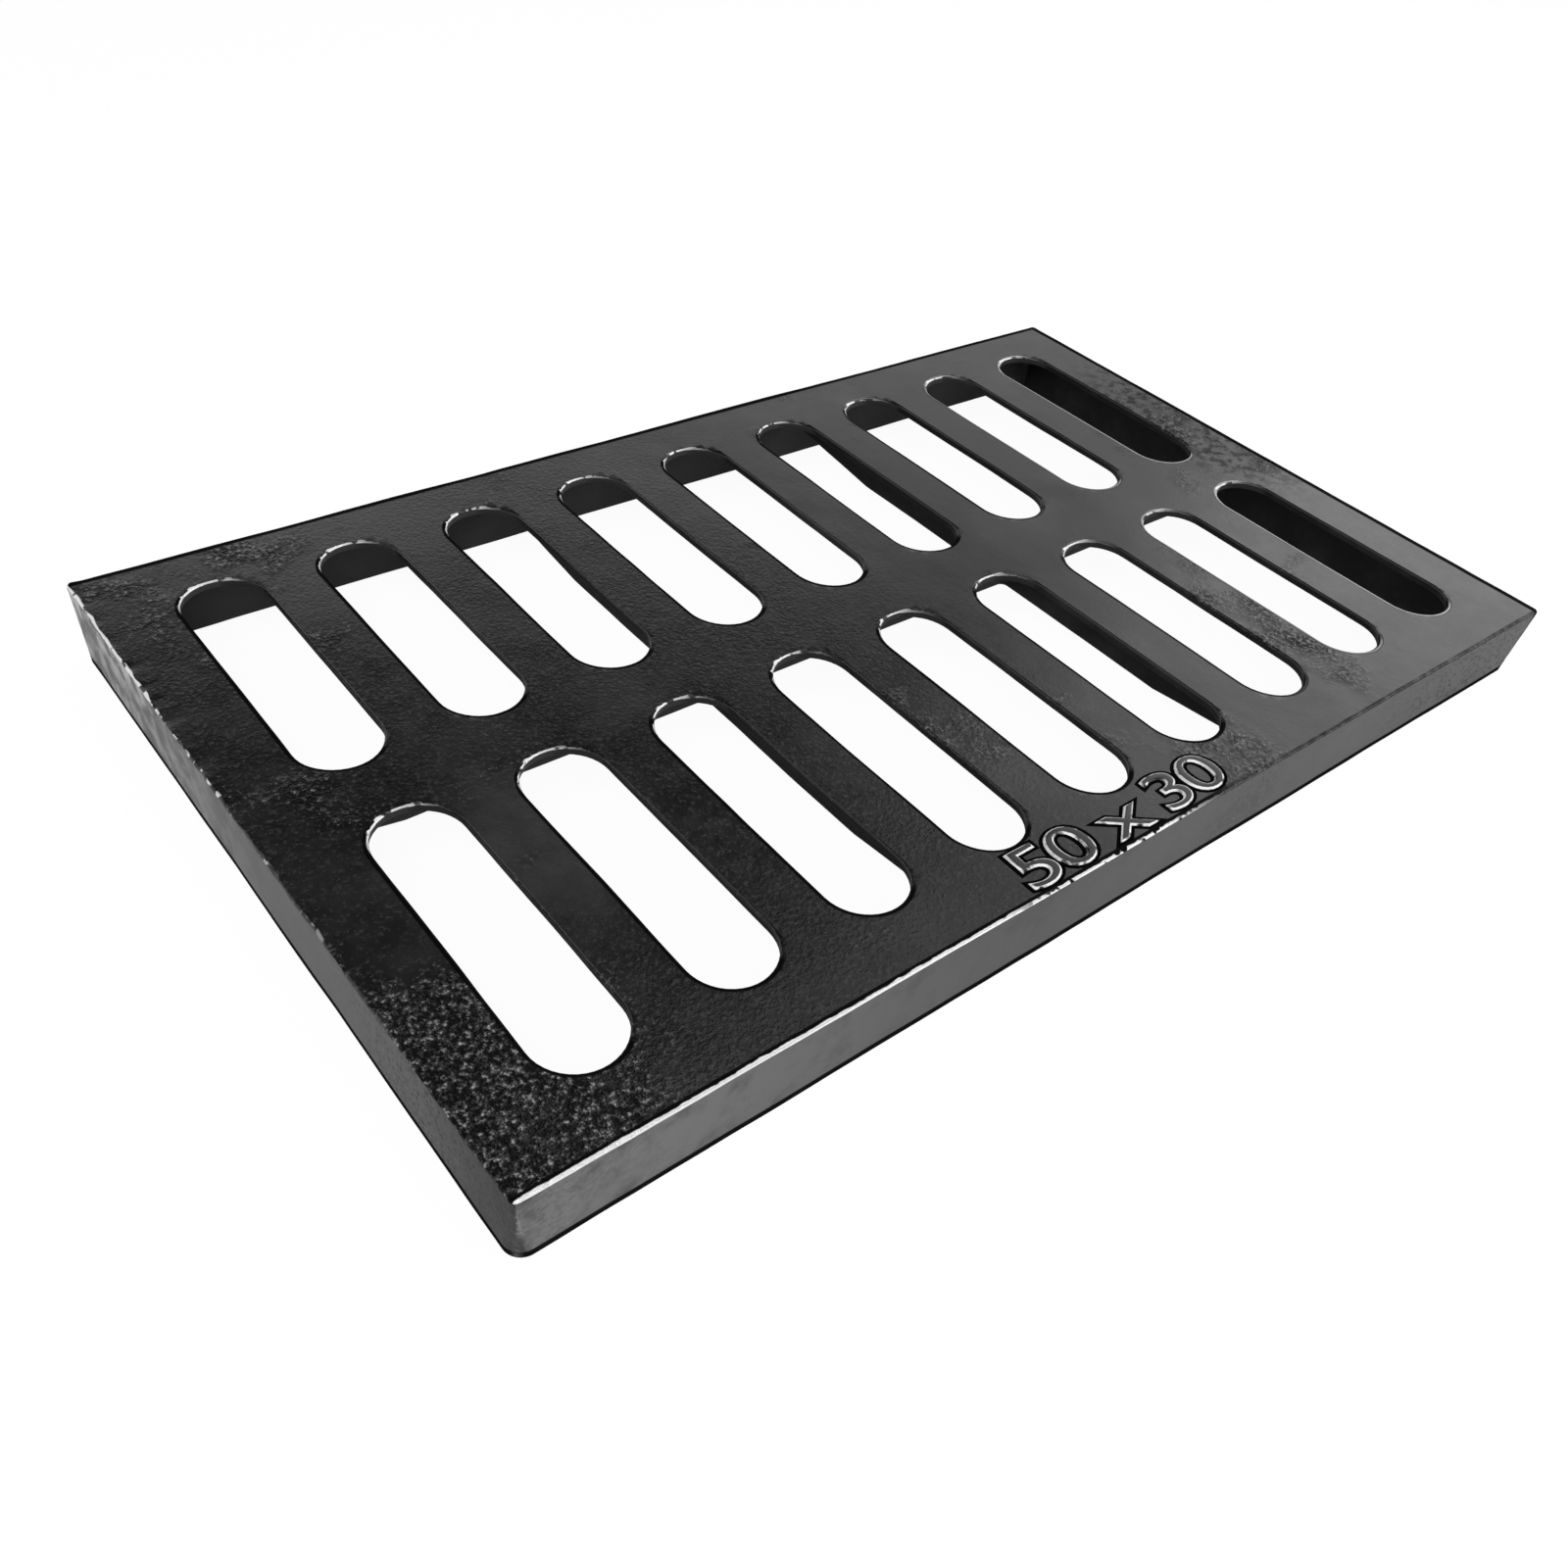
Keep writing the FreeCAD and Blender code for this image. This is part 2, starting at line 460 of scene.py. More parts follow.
@dataclass(frozen=True)
class WearAndHighlights:
    """Where the coat is gone and bare iron shows, and painted highlights: a pale colour along the
    near top edge, on the slots' far ends and on the number's shoulders, on the slopes that face the
    front.
    """

    ragged: float = 5 * MM
    unbroken: Span = (0.40, 0.48)
    near_inset: Span = (1.2 * MM, 0.8 * MM)
    near_wave: float = 1.6 * MM
    near_facing: Span = (0.20, 0.40)
    near_run: Span = (45 * MM, -5 * MM)
    near_whole_run: Span = (-50 * MM, -80 * MM)
    slot_gap: Span = (2.0 * MM, 1.4 * MM)
    slot_side: Span = (13 * MM, -2 * MM)
    left_inset: Span = (2.2 * MM, 1.4 * MM)
    left_run: Span = (-110 * MM, 80 * MM)
    left_flaked: Span = (0.54, 0.62)
    more_flakes_run: Span = (20 * MM, 120 * MM)
    more_flakes: float = 0.16
    strokes: float = 0.0
    stroke_flaked: Span = (0.36, 0.50)
    stroke_least: float = 0.7

    def _near_edge(self, at: Skinpoint, ragged: Signal) -> Signal:
        """Draws the painted highlight along the near top edge, broken towards the right.

        Args:
            at: The point.
            ragged: The random field that frays it.

        Returns:
            How strong the painted highlight is, from 0 to 1.
        """
        wavy_inset = at.front_inset + (ragged - NOISE_MEAN) * self.near_wave
        whole = ragged.step(self.unbroken).larger(at.x.step(self.near_whole_run))
        return (wavy_inset.step(self.near_inset) * at.up.step(self.near_facing)
                * at.x.step(self.near_run) * whole)

    def _slot_ends(self, at: Skinpoint, ragged: Signal) -> Signal:
        """Draws painted highlights on the front-facing arcs at the slots' far ends.

        Args:
            at: The point.
            ragged: The random field that frays them.

        Returns:
            How strong the painted highlight is, from 0 to 1.
        """
        return (at.gap.step(self.slot_gap) * at.slope * at.front
                * at.across.step(self.slot_side) * ragged.step(self.unbroken))

    def _left_edge(self, at: Skinpoint, ragged: Signal) -> Signal:
        """Strews flakes along the left top edge, with more of them towards the back.

        Args:
            at: The point.
            ragged: The random field that shapes them.

        Returns:
            How bare the iron is, from 0 to 1.
        """
        flaky = ragged + at.y.step(self.more_flakes_run) * self.more_flakes
        return (at.inset.step(self.left_inset) * at.slope * at.left
                * flaky.step(self.left_flaked) * at.y.step(self.left_run))

    def _strokes(self, at: Skinpoint, ragged: Signal) -> Signal:
        """Painted highlights on the shoulders of the raised number's strokes, strongest where they
        face the front.
        """
        facing = at.front * (1.0 - self.stroke_least) + self.stroke_least
        return at.slope * facing * ragged.step(self.stroke_flaked) * self.strokes

    def mask(self, at: Skinpoint) -> Signal:
        """Puts the bare iron and the painted highlights together.

        Args:
            at: The point.

        Returns:
            How much bare iron and painted highlight there is, from 0 to 1.
        """
        ragged = at.s.noise(at.place, self.ragged)
        return largest(self._near_edge(at, ragged), self._slot_ends(at, ragged),
                       self._left_edge(at, ragged), self._strokes(at, ragged))


@dataclass(frozen=True)
class PaintedHighlightLine:
    """Painted highlight: a thin pale line on the top, beside the slots at the right end."""

    amount: float = 1.0
    inner_side: Span = (0.5 * MM, 0.9 * MM)
    outer_side: Span = (1.9 * MM, 1.4 * MM)
    slot_side: Span = (13 * MM, 7 * MM)
    run: Span = (60 * MM, 200 * MM)

    def mask(self, at: Skinpoint) -> Signal:
        """How far the painted highlight shows, from 0 to 1."""
        line = at.gap.step(self.inner_side) * at.gap.step(self.outer_side)
        return line * at.across.step(self.slot_side) * at.x.step(self.run) * at.level * self.amount


@dataclass(frozen=True)
class PaintedShadeAndBlots:
    """Painted shade: dark lines along the top's edges and round the slots, a painted shadow along
    the foot, darker ends of the rim's outside and a duller stretch of the near border, with dark
    blots near the right end.
    """

    amount: float = 1.0
    ragged: float = 5 * MM
    top_facing: Span = (0.1, 0.4)
    right_inset: Span = (4.4 * MM, 3.4 * MM)
    back_inset: Span = (3.6 * MM, 2.6 * MM)
    near_inset: Span = (2.6 * MM, 2.0 * MM)
    near_run: Span = (60 * MM, 20 * MM)
    faint_inset: Span = (1.7 * MM, 1.2 * MM)
    faint_run: Span = (30 * MM, 90 * MM)
    faint_detail: float = 3.0
    faint_field: Span = (0.35, 0.60)
    faint_swing: float = 0.40
    faint_least: float = 0.25
    slot_gap: Span = (2.2 * MM, 1.6 * MM)
    slot_side: Span = (5 * MM, -3 * MM)
    blot_detail: float = 4.0
    blot_rough: float = 0.7
    blot_field: Span = (0.42, 0.62)
    blots: Spot = Spot(240 * MM, 34 * MM, 84 * MM, 0.65, core=0.4, narrow_x=1.8)
    # Painted shade on a stretch of the near border
    shaded_border: Spot = Spot(-105 * MM, -140 * MM, 85 * MM, 0.22, core=0.4, narrow_x=0.8, narrow_y=1.4)
    # Painted shadow along the foot
    foot_shadow_height: Span = (4.0 * MM, 3.2 * MM)
    shade_run: Span = (-85 * MM, -150 * MM)
    shade: float = 0.4

    def _lines(self, at: Skinpoint) -> Signal:
        """Draws painted shade as dark lines along the top's edges and round the slots.

        Args:
            at: The point.

        Returns:
            How strong the painted shade is, from 0 to 1.
        """
        near = at.front_inset.step(self.near_inset) * at.x.step(self.near_run)
        field = at.s.noise(at.place, self.ragged, self.faint_detail).step(self.faint_field)
        faint = (at.front_inset.step(self.faint_inset) * at.x.step(self.faint_run)
                 * (field * self.faint_swing + self.faint_least))
        slots = at.gap.step(self.slot_gap) * (at.across + at.beyond).step(self.slot_side)
        right = at.right_inset.step(self.right_inset)
        back = at.back_inset.step(self.back_inset)
        return largest(right, back, near, faint, slots) * at.up.step(self.top_facing)

    def _places(self, at: Skinpoint) -> Signal:
        """Lays dark blots near the right end, and painted shade on a stretch of the near border.

        Args:
            at: The point.

        Returns:
            How dark it is, from 0 to 1.
        """
        field = at.s.noise(at.place, self.ragged, self.blot_detail, self.blot_rough)
        blots = field.step(self.blot_field) * self.blots.share(at)
        return blots.larger(self.shaded_border.share(at)) * at.level

    def _flank(self, at: Skinpoint) -> Signal:
        """Paints a shadow along the foot and shade on the ends of the rim's outside.

        Args:
            at: The point.

        Returns:
            How strong the painted shadow and shade are, from 0 to 1.
        """
        right_end = at.right_inset.step(self.right_inset) * at.front
        back_end = at.back_inset.step(self.back_inset) * at.left
        near_end = at.left * at.y.step(self.shade_run) * self.shade
        return largest(at.z.step(self.foot_shadow_height), right_end, back_end, near_end) * at.flank

    def mask(self, at: Skinpoint) -> Signal:
        """How strong the painted shade and the blots are, from 0 to 1."""
        return largest(self._lines(at), self._places(at), self._flank(at)) * self.amount


@dataclass(frozen=True)
class Flank:
    """The rim's outside: greyer iron with a random pale mottle where it has been knocked about.
    It is lighter than the top, and paler towards the back and the top of the left side and towards
    the left of the front, which is painted light. A painted highlight runs down the near corner,
    and painted shade lies on the near end of the left side.
    """

    # Lighter than the top's coat, partly as painted light on the sides
    dark: float = 0.039
    pale: float = 0.400
    mottle_size: float = 9 * MM
    mottle_detail: float = 3.0
    mottle_rough: float = 0.6
    mottle: Span = (0.36, 0.66)
    upper_height: Span = (16 * MM, 30 * MM)
    upper_run: Span = (40 * MM, 140 * MM)
    left_run: Span = (-30 * MM, 140 * MM)
    left_gain: float = 0.68
    left_least: float = 0.06
    front_run: Span = (-60 * MM, -240 * MM)
    front_gain: float = 0.22
    # Where the painted highlight down the near corner lies, and how strong it is
    corner_highlight_turn: float = 0.42
    corner_highlight_width: Span = (0.24, 0.06)
    corner_highlight_height: Span = (4 * MM, 16 * MM)
    corner_highlight_run: Span = (-200 * MM, -240 * MM)
    corner_highlight: float = 0.8
    rubbed: Span = (0.15, 0.60)
    # Painted shade on the near end of the left side
    near_end_shade_run: Span = (60 * MM, -150 * MM)
    coated: float = 0.8

    def coloured(self, at: Skinpoint, base: Signal, streaks: Signal) -> Signal:
        """Colours the rim's outside.

        Args:
            at: The point.
            base: The colour of the coat.
            streaks: The random field that the coat was rubbed off by.

        Returns:
            The colour, which is the coat's own away from the rim's outside.
        """
        field = at.s.noise(at.place, self.mottle_size, self.mottle_detail, self.mottle_rough)
        # Painted light: paler towards the top and the back of the left side, and towards the left
        # end of the front
        upper = at.z.step(self.upper_height) * at.y.step(self.upper_run)
        mottled = field.step(self.mottle) * (
            at.y.step(self.left_run) * self.left_gain + self.left_least + upper)
        paler = at.left * mottled + at.front * at.x.step(self.front_run) * self.front_gain
        # Painted highlight down the rounded near corner
        corner_highlight = (abs(at.faces_x + self.corner_highlight_turn).step(self.corner_highlight_width) * at.front
                 * at.z.step(self.corner_highlight_height) * at.x.step(self.corner_highlight_run) * self.corner_highlight)
        own = at.s.mix(paler.larger(corner_highlight), grey(self.dark), grey(self.pale))
        # Painted shade on the near end of the left side
        coated = at.left * at.y.step(self.near_end_shade_run) * self.coated * (1.0 - corner_highlight)
        return at.s.mix(at.flank * streaks.step(self.rubbed) * (1.0 - coated), base, own)


@dataclass(frozen=True)
class Relief:
    """The skin's fine relief, with its heights in millimetres."""

    peel: float = 3.2 * MM
    peel_height: float = 0.035
    pit_height: float = 0.70
    grained_share: float = 0.18
    grain: float = 0.8 * MM
    grain_detail: float = 1.0
    grain_height: float = 0.025

    def normal(self, at: Skinpoint, specks: Signal, pitted: Signal, grained: Signal) -> Signal:
        """Bump of the skin.

        Args:
            at: The point.
            specks: The specks' field.
            pitted: How coarse the sand's print is.
            grained: How far the faint grain shows.

        Returns:
            The bumped normal.
        """
        height = (at.s.noise(at.place, self.peel) * self.peel_height
                  + specks * pitted.larger(grained * self.grained_share) * self.pit_height
                  + at.s.noise(at.place, self.grain, self.grain_detail) * self.grain_height)
        return at.s.node("ShaderNodeBump",
                         values={"Strength": 1.0, "Distance": MM, "Height": height})


@dataclass(frozen=True)
class CoatedIron:
    """Cast iron under a thin coat of black bitumen, pitted where the sand was coarse."""

    name: str
    coat: float = 0.0045
    dust: float = 0.018
    # Painted light on faces towards the front
    front_painted_light: float = 0.0
    haze: float = 0.040
    haze_least: float = 0.5
    haze_swing: float = 0.8
    # Colour of the painted highlight beside the right-end slots
    pale: float = 0.320
    # Colour of the bare iron and of the painted highlights
    worn_and_highlit: float = 0.800
    # Black of the painted shade and of the blots
    shade_and_blot_black: float = 0.003
    cloud: float = 45 * MM
    clouded: Span = (0.44, 0.72)
    streak: float = 9 * MM
    streaked: Span = (0.45, 0.80)
    streak_share: float = 0.4
    layers: float = 4.0
    layer_strength: float = 0.6
    roughness: float = 0.19
    roughness_swing: float = 0.06
    roughened: Span = (0.3, 0.7)
    flank_roughness: float = 0.42
    ior: float = 1.5
    specular: float = 0.5
    # Metallic of the bare iron and of the painted highlights
    shine_of_bare_and_highlit: float = 0.30
    # Painted shade on faces towards the left
    left_painted_shade: float = 0.0
    most_dull: float = 0.97
    sand: SandPrint = SandPrint()
    specks: Specks = Specks()
    wear_and_highlights: WearAndHighlights = WearAndHighlights()
    line: PaintedHighlightLine = PaintedHighlightLine()
    shade_and_blots: PaintedShadeAndBlots = PaintedShadeAndBlots()
    flank: Flank = Flank()
    relief: Relief = Relief()

    def _coat(self, at: Skinpoint, streaks: Signal) -> Signal:
        """Colours the coat and the dust on it, and where asked, lightens faces towards the front as
        painted light.

        Args:
            at: The point.
            streaks: The random field that the coat was rubbed off by.

        Returns:
            The colour.
        """
        clouds = at.s.noise(at.place, self.cloud, self.layers, self.layer_strength)
        dusty = clouds.step(self.clouded).larger(streaks.step(self.streaked) * self.streak_share)
        hazed = self.sand.hazed(at) * (streaks * self.haze_swing + self.haze_least)
        coat = at.s.mix(dusty, grey(self.coat), grey(self.dust))
        coat = at.s.mix(hazed, coat, grey(self.haze))
        return at.s.mix(at.front * self.front_painted_light, coat, grey(self.dust))

    def material(self) -> bpy.types.Material:
        """Builds the finish.

        Returns:
            The material.
        """
        made = bpy.data.materials.new(self.name)
        made.use_nodes = True
        s = Shader(made.node_tree)
        at = Skinpoint(s)
        streaks = s.noise(at.place, self.streak, self.layers, self.layer_strength)
        specks = self.specks.field(at)
        pitted = self.sand.pitted(at)
        grained = self.sand.grained(at)
        worn_and_highlit = self.wear_and_highlights.mask(at)
        line = self.line.mask(at)

        colour = self.flank.coloured(at, self._coat(at, streaks), streaks)
        colour = self.specks.coloured(specks, pitted, grained, colour)
        # Painted highlight beside the right-end slots
        colour = s.mix(line, colour, grey(self.pale))
        # Bare iron, and painted highlights on the edges that face the front
        colour = s.mix(worn_and_highlit, colour, grey(self.worn_and_highlit))
        rough = (streaks.step(self.roughened) * self.roughness_swing + self.roughness
                 + at.flank * (self.flank_roughness - self.roughness))
        iron = s.node("ShaderNodeBsdfPrincipled", values={
            "Base Color": colour, "Roughness": rough,
            "Metallic": worn_and_highlit * self.shine_of_bare_and_highlit if self.shine_of_bare_and_highlit else 0.0,
            "IOR": self.ior, "Specular IOR Level": self.specular,
            "Normal": self.relief.normal(at, specks, pitted, grained)})
        shade_and_blot_black = s.node("ShaderNodeBsdfDiffuse", values={"Color": grey(self.shade_and_blot_black)})
        # Painted shade in lines, pits and on left-facing faces, and dark blots, mixed in as a black
        # diffuse
        dull = largest(self.shade_and_blots.mask(at), self.specks.dull(at, specks, pitted),
                       at.left * self.left_painted_shade)
        skin = s.node("ShaderNodeMixShader", values={
            0: dull * (1.0 - worn_and_highlit.larger(line)) * self.most_dull, 1: iron, 2: shade_and_blot_black})
        s.node("ShaderNodeOutputMaterial", values={"Surface": skin})
        return made


OUTER_SKIN = CoatedIron("coated_iron")
PLAIN_SKIN = CoatedIron("plain_iron", shine_of_bare_and_highlit=0.0, sand=SandPrint(amount=0.0),
                        line=PaintedHighlightLine(amount=0.0), shade_and_blots=PaintedShadeAndBlots(amount=0.0))
# Inside: lighter where it faces the front and darker where it faces left, which is painted light
# and painted shade
INNER_SKIN = replace(PLAIN_SKIN, name="inner_iron", coat=0.004, dust=0.034, front_painted_light=0.8,
                     roughness=0.60, specular=0.25, left_painted_shade=0.4,
                     relief=Relief(peel_height=0.060))
# The number gets painted highlights on its shoulders
NUMBER_SKIN = replace(PLAIN_SKIN, name="number_iron", coat=0.004, dust=0.010, worn_and_highlit=0.90,
                      wear_and_highlights=WearAndHighlights(strokes=1.0))
# A flat matt black outline round the number, which is painted shade
NUMBER_SHADE_SKIN = replace(PLAIN_SKIN, name="shade_outline_iron", coat=0.002, dust=0.003, roughness=0.80,
                    roughness_swing=0.0, specular=0.0)


@dataclass(frozen=True)
class Unevenness:
    """The slow wander of a sand casting's faces and edges, and one broken edge."""

    long_wave: float = 55 * MM
    short_wave: float = 14 * MM
    chip_wave: float = 8 * MM
    crumb_wave: float = 3 * MM
    long_reach: float = 0.35 * MM
    short_reach: float = 0.10 * MM
    chip_reach: float = 0.80 * MM
    crumb_reach: float = 0.25 * MM
    chip_width: float = 5 * MM

    def from_broken_edge(self, place: Vector) -> float:
        """Distance of a point from the left top edge."""
        return math.hypot(place.x - CAD_BOX[0].x, place.z - CAD_BOX[1].z)

    def settled(self, place: Vector) -> Vector:
        """Moves a point of the skin.

        Args:
            place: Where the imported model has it.

        Returns:
            Where the casting has it, never outside the model's box.
        """
        low, high = CAD_BOX
        moved = (place + noise.noise_vector(place / self.long_wave) * self.long_reach
                 + noise.noise_vector(place / self.short_wave) * self.short_reach)
        from_edge = self.from_broken_edge(place)
        if from_edge < self.chip_width:
            chips = (noise.noise_vector(place / self.chip_wave) * self.chip_reach
                     + noise.noise_vector(place / self.crumb_wave) * self.crumb_reach)
            moved += chips * (1.0 - from_edge / self.chip_width)
        return Vector(min(max(moved[i], low[i]), high[i]) for i in range(3))


WANDER = Unevenness()


class Skin(Enum):
    """The two stretches of the casting's skin, numbered as its material slots."""

    OUTER = 0
    INNER = 1


def finished_piece(name: str, work: bmesh.types.BMesh,
                   finishes: list[bpy.types.Material]) -> bpy.types.Object:
    """Turns a bmesh into a piece of the object.

    Args:
        name: The piece's name.
        work: Its shape, which is freed.
        finishes: Its materials.

    Returns:
        The piece, at the origin and riding on the body.
    """
    mesh = bpy.data.meshes.new(name)
    work.to_mesh(mesh)
    work.free()
    mesh.shade_smooth()
    mesh.set_sharp_from_angle(angle=SMOOTH_ANGLE)
    for finish in finishes:
        mesh.materials.append(finish)
    piece = bpy.data.objects.new(name, mesh)
    bpy.context.scene.collection.objects.link(piece)
    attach(piece, BODY)
    return piece


@dataclass
class Casting:
    """The grate's one casting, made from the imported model's own faces."""

    node: str = "grate"
    cell: float = 4 * MM
    crumb: float = 1 * MM
    same_point: float = 1e-6
    flat_angle: float = math.radians(0.5)
    rim_skin: float = 3 * MM
    looks_up: float = 0.2

    def _cut(self, mesh: bmesh.types.BMesh, axis: int, pitch: float, geometry: list) -> list:
        """Cuts some of the faces by evenly spaced planes across one axis.

        Args:
            mesh: The shape that they belong to.
            axis: The axis that the planes are square to.
            pitch: The planes' spacing.
            geometry: The vertices, edges and faces to cut.

        Returns:
            The vertices, edges and faces that they have become.
        """
        low, high = CAD_BOX[0][axis], CAD_BOX[1][axis]
        normal = Vector.Fill(3)
        normal[axis] = 1.0
        for step in range(math.ceil(low / pitch), math.ceil(high / pitch)):
            cut = bmesh.ops.bisect_plane(mesh, geom=geometry, dist=self.same_point,
                                         plane_co=normal * (step * pitch), plane_no=normal)
            geometry = cut["geom"]
        return geometry

    def _refine_broken_edge(self, mesh: bmesh.types.BMesh) -> None:
        """Cuts the faces along the left top edge finer, for its chips.

        Args:
            mesh: The shape that they belong to.
        """
        faces = [face for face in mesh.faces
                 if WANDER.from_broken_edge(face.calc_center_median()) < WANDER.chip_width]
        edges = dict.fromkeys(edge for face in faces for edge in face.edges)
        corners = dict.fromkeys(corner for face in faces for corner in face.verts)
        self._cut(mesh, 1, self.crumb, [*corners, *edges, *faces])

    def _skin_of(self, face: bmesh.types.BMFace) -> Skin:
        """Tells the top and the rim's outside from what is within.

        Args:
            face: A face of the casting.

        Returns:
            The stretch of skin that it belongs to.
        """
        centre = face.calc_center_median()
        outside = any(abs(centre[axis]) > CAD_BOX[1][axis] - self.rim_skin for axis in range(2))
        return Skin.OUTER if outside or face.normal.z > self.looks_up else Skin.INNER

    def build(self, outer: bpy.types.Material, inner: bpy.types.Material) -> bpy.types.Object:
        """Builds and dresses the casting.

        Args:
            outer: The finish of its top and of the rim's outside.
            inner: The finish of the slots' walls, the hollow and the ribs.

        Returns:
            The piece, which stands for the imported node.
        """
        work = bmesh.new()
        work.from_mesh(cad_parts[self.node].data)
        bmesh.ops.remove_doubles(work, verts=work.verts[:], dist=self.same_point)
        bmesh.ops.dissolve_limit(work, angle_limit=self.flat_angle, verts=work.verts[:],
                                 edges=work.edges[:])
        geometry = work.verts[:] + work.edges[:] + work.faces[:]
        for axis in range(3):
            geometry = self._cut(work, axis, self.cell, geometry)
        self._refine_broken_edge(work)
        for face in work.faces:
            face.material_index = self._skin_of(face).value
        for vertex in work.verts:
            vertex.co = WANDER.settled(vertex.co)
        piece = finished_piece("casting", work, [outer, inner])
        weighted = piece.modifiers.new("even_shading", "WEIGHTED_NORMAL")
        weighted.keep_sharp = True
        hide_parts(self.node)
        return piece


@dataclass
class RaisedNumber:
    """Plain raised size number on the border in front of the slots; a flat, wider copy of it serves
    as a painted shade outline.
    """

    name: str
    stroke: float
    proud: float
    rounding: float
    text: str = "50 x 30"
    centre_x: float = -11 * MM
    centre_y: float = -138.3 * MM
    length: float = 100 * MM
    height: float = 17.0 * MM
    letter_size: float = 25 * MM
    spacing: float = 0.90
    curve_steps: int = 6
    rounding_steps: int = 3
    same_point: float = 0.001 * MM

    def _letters(self, swell: float) -> bpy.types.Mesh:
        """Mesh of the number as the text object makes it, level with the origin.

        Args:
            swell: How far the strokes' outlines are moved outwards.

        Returns:
            The mesh.
        """
        curve = bpy.data.curves.new("number", "FONT")
        curve.body = self.text
        curve.size = self.letter_size
        curve.space_character = self.spacing
        curve.offset = swell - self.rounding
        curve.resolution_u = self.curve_steps
        curve.extrude = self.proud - self.rounding
        curve.bevel_depth = self.rounding
        curve.bevel_resolution = self.rounding_steps
        text = bpy.data.objects.new("number", curve)
        bpy.context.scene.collection.objects.link(text)
        bpy.context.view_layer.update()
        mesh = bpy.data.meshes.new_from_object(
            text.evaluated_get(bpy.context.evaluated_depsgraph_get()))
        bpy.data.objects.remove(text)
        bpy.data.curves.remove(curve)
        return mesh

    def build(self, finish: bpy.types.Material) -> bpy.types.Object:
        """Builds and dresses the number.

        Args:
            finish: The material of its skin.

        Returns:
            The piece.
        """
        plain = self._letters(0.0)
        low = Vector(min(v.co[i] for v in plain.vertices) for i in range(3))
        high = Vector(max(v.co[i] for v in plain.vertices) for i in range(3))
        work = bmesh.new()
        work.from_mesh(self._letters(self.stroke))
        bmesh.ops.remove_doubles(work, verts=work.verts[:], dist=self.same_point)
        bmesh.ops.recalc_face_normals(work, faces=work.faces[:])
        top = CAD_BOX[1].z
        scale = Vector((self.length / (high.x - low.x), self.height / (high.y - low.y), 1.0))
        bmesh.ops.translate(work, verts=work.verts[:], vec=-(low + high) / 2)
        bmesh.ops.scale(work, verts=work.verts[:], vec=scale)
        bmesh.ops.translate(work, verts=work.verts[:],
                            vec=Vector((self.centre_x, self.centre_y, top)))
        for vertex in work.verts:
            below = Vector((vertex.co.x, vertex.co.y, top))
            vertex.co += WANDER.settled(below) - below
        return finished_piece(self.name, work, [finish])


@dataclass(frozen=True)
class SoftBox:
    """One flat soft lamp, aimed at the grate, with its angles in degrees."""

    name: str
    azimuth: float
    elevation: float
    distance: float
    width: float
    height: float
    radiance: float

    def place(self) -> None:
        """Hangs the lamp."""
        lamp = bpy.data.lights.new(self.name, "AREA")
        lamp.shape = "RECTANGLE"
        lamp.size = self.width
        lamp.size_y = self.height
        lamp.energy = self.radiance * math.pi * self.width * self.height
        across, up = math.radians(self.azimuth), math.radians(self.elevation)
        towards = Vector((math.cos(across) * math.cos(up), math.sin(across) * math.cos(up),
                          math.sin(up)))
        holder = bpy.data.objects.new(self.name, lamp)
        holder.rotation_mode = "QUATERNION"
        holder.rotation_quaternion = towards.to_track_quat("Z", "Y")
        holder.location = towards * self.distance
        bpy.context.scene.collection.objects.link(holder)


